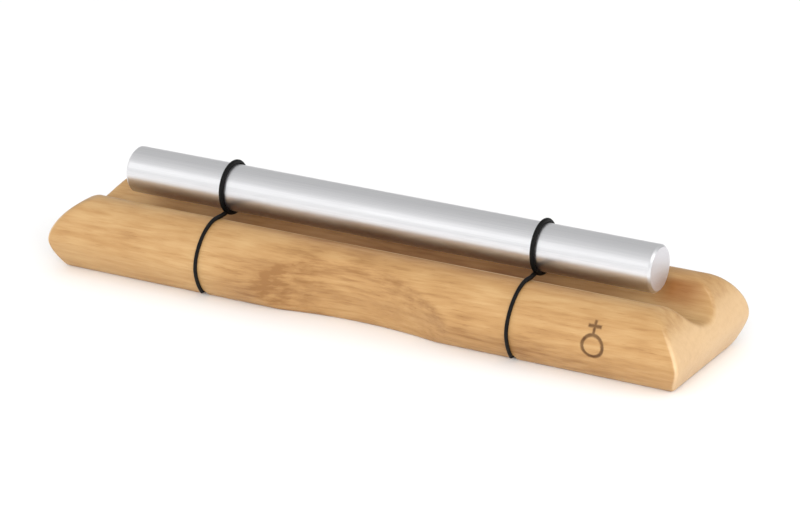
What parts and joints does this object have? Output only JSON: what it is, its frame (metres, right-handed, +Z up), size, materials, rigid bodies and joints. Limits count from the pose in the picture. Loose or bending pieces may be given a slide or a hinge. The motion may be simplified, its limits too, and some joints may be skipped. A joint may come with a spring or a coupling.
{
  "type": "energy chime",
  "caption": "Energy chime: a solid metal tone rod slung in rubber rings above a round groove in a hand-sized wooden base with swelling sides and finger hollows.",
  "frame": {"origin": "centre of the foot on the surface that the base stands on", "axes": "+X along the rod to the right, +Y to the back, +Z up"},
  "size_m": [0.208, 0.053, 0.0361],
  "materials": {
    "base_wood": "fine-grained honey-coloured hardwood, sanded and oiled, satin",
    "rod_metal": "solid bar, fine brushed and satin",
    "ring_rubber": "smooth black rubber cord, matt"
  },
  "bodies": {
    "base": {"base_block": "base_wood", "left_ring_seat": "ring_rubber", "right_ring_seat": "ring_rubber", "left_ring_front_span": "ring_rubber", "left_ring_back_span": "ring_rubber", "right_ring_front_span": "ring_rubber", "right_ring_back_span": "ring_rubber"},
    "turns": {"left_ring_loop": "ring_rubber", "right_ring_loop": "ring_rubber"},
    "rod": {"chime_rod": "rod_metal"}
  },
  "joints": [
    {"name": "bounce", "type": "slide", "parent": "base", "child": "turns", "axis": [0, 0, 1], "range_m": [-0.0032, 0.005], "stiffness_N_per_m": 350, "springref_m": 0.002, "deforming": ["left_ring_front_span", "left_ring_back_span", "right_ring_front_span", "right_ring_back_span"]},
    {"name": "rod_shift", "type": "slide", "parent": "turns", "child": "rod", "axis": [1, 0, 0], "range_m": [-0.012, 0.012]}
  ]
}
